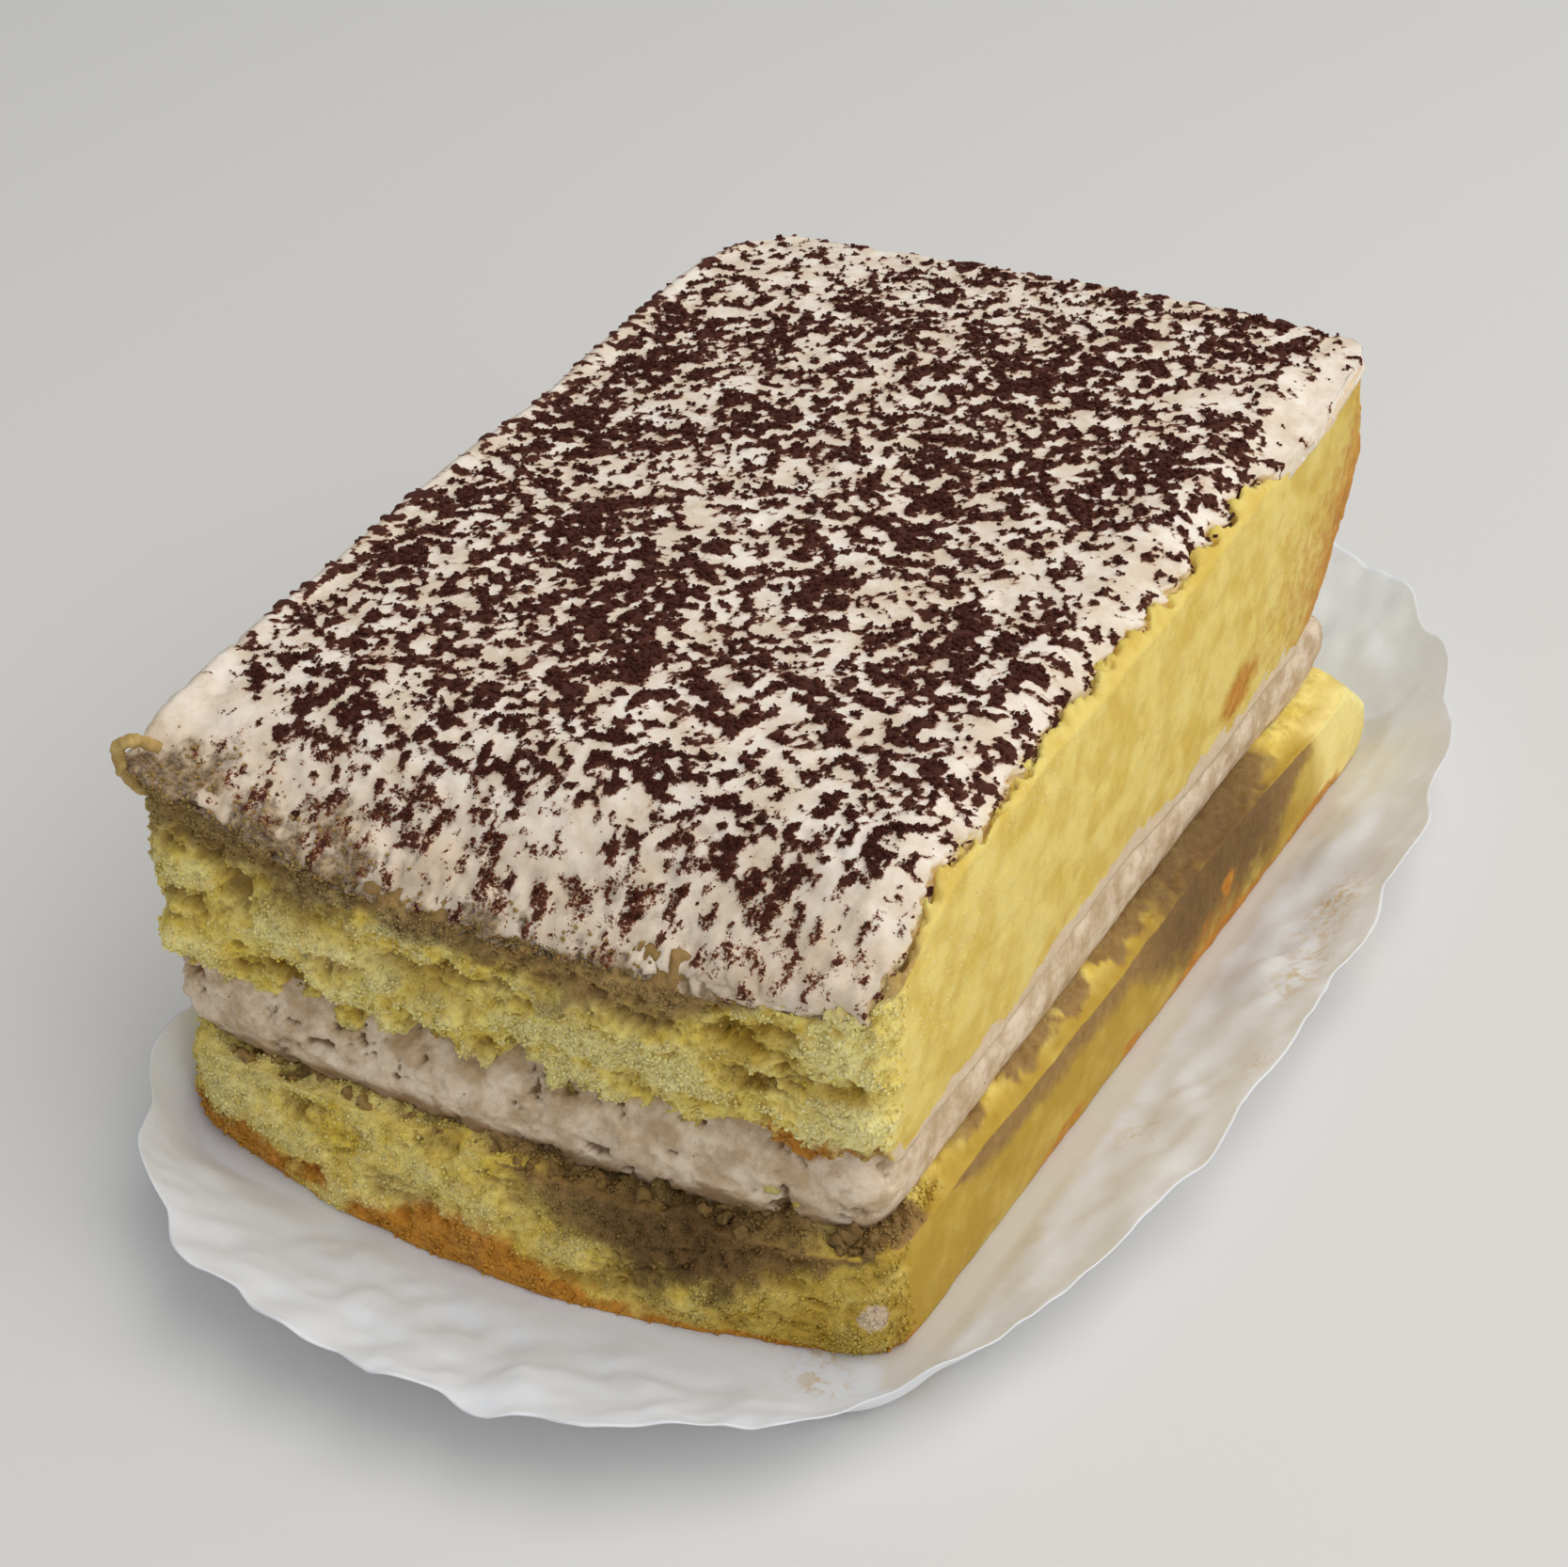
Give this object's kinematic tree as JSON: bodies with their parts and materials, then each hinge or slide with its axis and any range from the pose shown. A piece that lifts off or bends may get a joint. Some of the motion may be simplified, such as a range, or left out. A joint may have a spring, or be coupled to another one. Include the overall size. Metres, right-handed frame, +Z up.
{
  "type": "tiramisu portion",
  "caption": "Rectangular tray-cake portion: sponge, cream, sponge and a dusted cream topping, standing in a shallow scalloped paper case.",
  "frame": {"origin": "under the middle of the paper case, on the surface it stands on", "axes": "+Z up, +Y towards the back of the portion along its longer side, +X to the right along the front face"},
  "size_m": [0.0794, 0.1222, 0.0372],
  "materials": {
    "paper": "thin matte white baking paper, faintly translucent",
    "sponge": "open moist crumb, yellow, with a browned crust at its foot",
    "filling_cream": "soft coffee cream, matte with a faint sheen",
    "topping_cream": "whipped cream, matte, dusted with cocoa"
  },
  "bodies": {
    "root": {"paper_case": "paper", "lower_sponge": "sponge", "middle_cream": "filling_cream", "upper_sponge": "sponge", "topping_cream": "topping_cream"}
  },
  "joints": []
}
